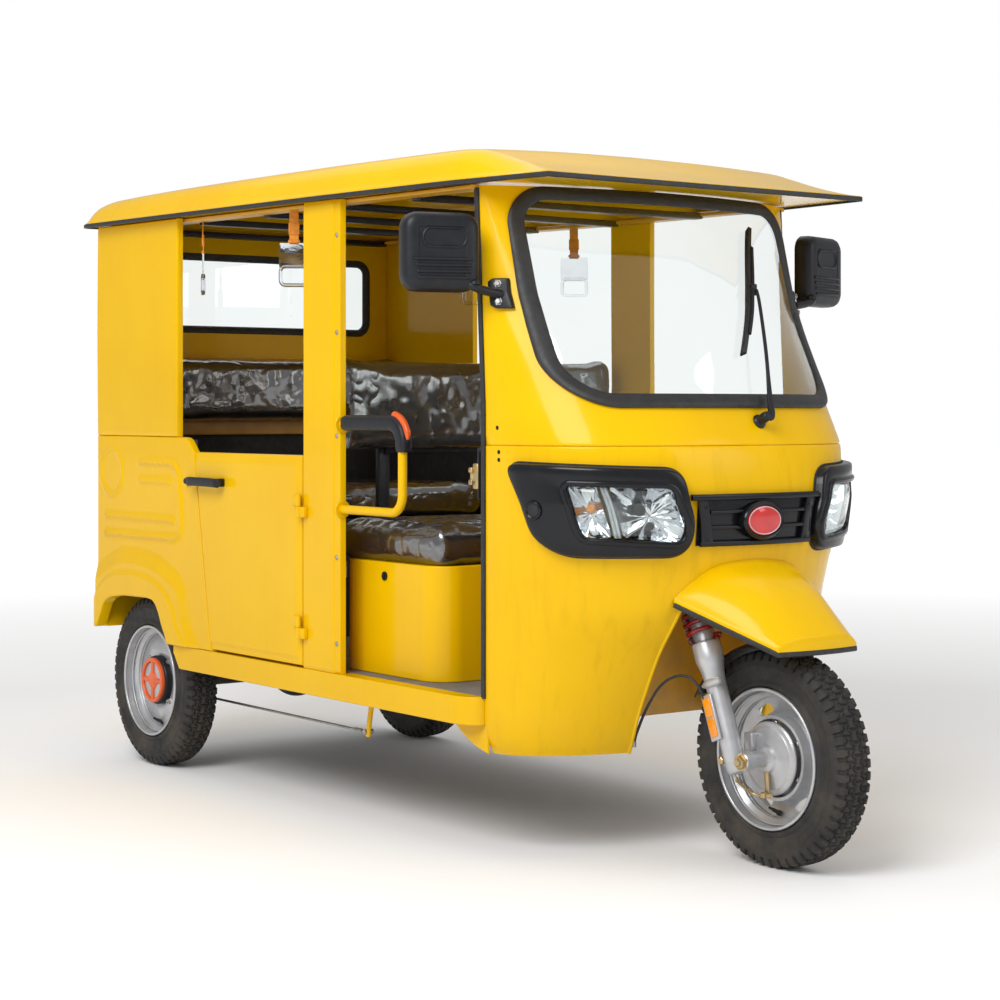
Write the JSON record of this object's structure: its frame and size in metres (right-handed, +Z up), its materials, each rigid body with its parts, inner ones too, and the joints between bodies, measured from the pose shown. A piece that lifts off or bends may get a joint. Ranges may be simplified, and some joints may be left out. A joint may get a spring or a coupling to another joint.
{
  "type": "auto rickshaw",
  "caption": "Three-wheeled passenger vehicle with a rounded nose, raked windshield, hard roof, half doors, driver's bench and a rear passenger bench.",
  "frame": {"origin": "on the ground under the middle of the bounding box", "axes": "+X forward, +Y to the vehicle's left, +Z up"},
  "size_m": [2.842, 1.4766, 1.7731],
  "materials": {
    "body_paint": "gloss yellow paint",
    "frame_black": "black chassis paint",
    "floor_mat": "grey ribbed mat",
    "trim_black": "black moulded plastic",
    "clear_glass": "clear safety glass",
    "lamp_clear": "clear lens over a bright reflector",
    "lamp_red": "red lens",
    "seat_vinyl": "black vinyl in clear wrap",
    "engine_iron": "cast",
    "strap_web": "orange webbing",
    "fork_alloy": "silver paint",
    "wheel_steel": "silver paint on pressed steel",
    "tyre_rubber": "black rubber"
  },
  "bodies": {
    "chassis": {"chassis_frame": "frame_black", "floor_pan": "floor_mat", "sill_right": "body_paint", "sill_left": "body_paint", "rear_quarter_right": "body_paint", "rear_quarter_left": "body_paint", "rear_upper_right": "body_paint", "rear_upper_left": "body_paint", "middle_pillar_right": "body_paint", "middle_pillar_left": "body_paint", "rear_wall": "body_paint", "rear_window": "clear_glass", "roof": "body_paint", "roof_frame": "frame_black", "cowl_lower": "body_paint", "cowl_upper": "body_paint", "windshield": "clear_glass", "lamp_bezel_right": "trim_black", "lamp_bezel_left": "trim_black", "headlamp_right": "lamp_clear", "headlamp_left": "lamp_clear", "front_grille": "trim_black", "front_fender": "body_paint", "front_bulkhead": "body_paint", "dash_shelf": "trim_black", "seat_box": "body_paint", "driver_cushion": "seat_vinyl", "driver_backrest": "seat_vinyl", "arm_rail_right": "body_paint", "arm_rail_left": "body_paint", "arm_pad_right": "trim_black", "arm_pad_left": "trim_black", "bench_base": "frame_black", "rear_cushion": "seat_vinyl", "rear_backrest": "seat_vinyl", "rear_axle": "frame_black", "leaf_springs": "frame_black", "engine_block": "engine_iron", "wiper": "trim_black", "mirror_right": "trim_black", "mirror_left": "trim_black", "grab_straps": "strap_web", "tail_lamps": "lamp_red", "brake_linkage": "body_paint"},
    "steering": {"fork": "fork_alloy", "handlebar": "trim_black"},
    "front_wheel": {"front_rim": "wheel_steel", "front_tyre": "tyre_rubber"},
    "rear_wheel_right": {"rear_rim_right": "wheel_steel", "rear_tyre_right": "tyre_rubber"},
    "rear_wheel_left": {"rear_rim_left": "wheel_steel", "rear_tyre_left": "tyre_rubber"},
    "door_right": {"door_right": "body_paint"},
    "door_left": {"door_left": "body_paint"}
  },
  "joints": [
    {"name": "steering_turn", "type": "hinge", "parent": "chassis", "child": "steering", "pos_m": [1.114, 0, 0.26], "axis": [-0.3535, 0, 0.9354], "range_deg": [-38, 38]},
    {"name": "front_wheel_spin", "type": "hinge", "parent": "steering", "child": "front_wheel", "pos_m": [1.161, 0, 0.26], "axis": [0, 1, 0], "continuous": true},
    {"name": "rear_wheel_right_spin", "type": "hinge", "parent": "chassis", "child": "rear_wheel_right", "pos_m": [-1.084, -0.475, 0.26], "axis": [0, 1, 0], "continuous": true},
    {"name": "rear_wheel_left_spin", "type": "hinge", "parent": "chassis", "child": "rear_wheel_left", "pos_m": [-1.084, 0.475, 0.26], "axis": [0, 1, 0], "continuous": true},
    {"name": "door_right_swing", "type": "hinge", "parent": "chassis", "child": "door_right", "pos_m": [-0.131, -0.568, 0.5], "axis": [0, 0, 1], "range_deg": [0, 80]},
    {"name": "door_left_swing", "type": "hinge", "parent": "chassis", "child": "door_left", "pos_m": [-0.131, 0.568, 0.5], "axis": [0, 0, -1], "range_deg": [0, 80]}
  ]
}
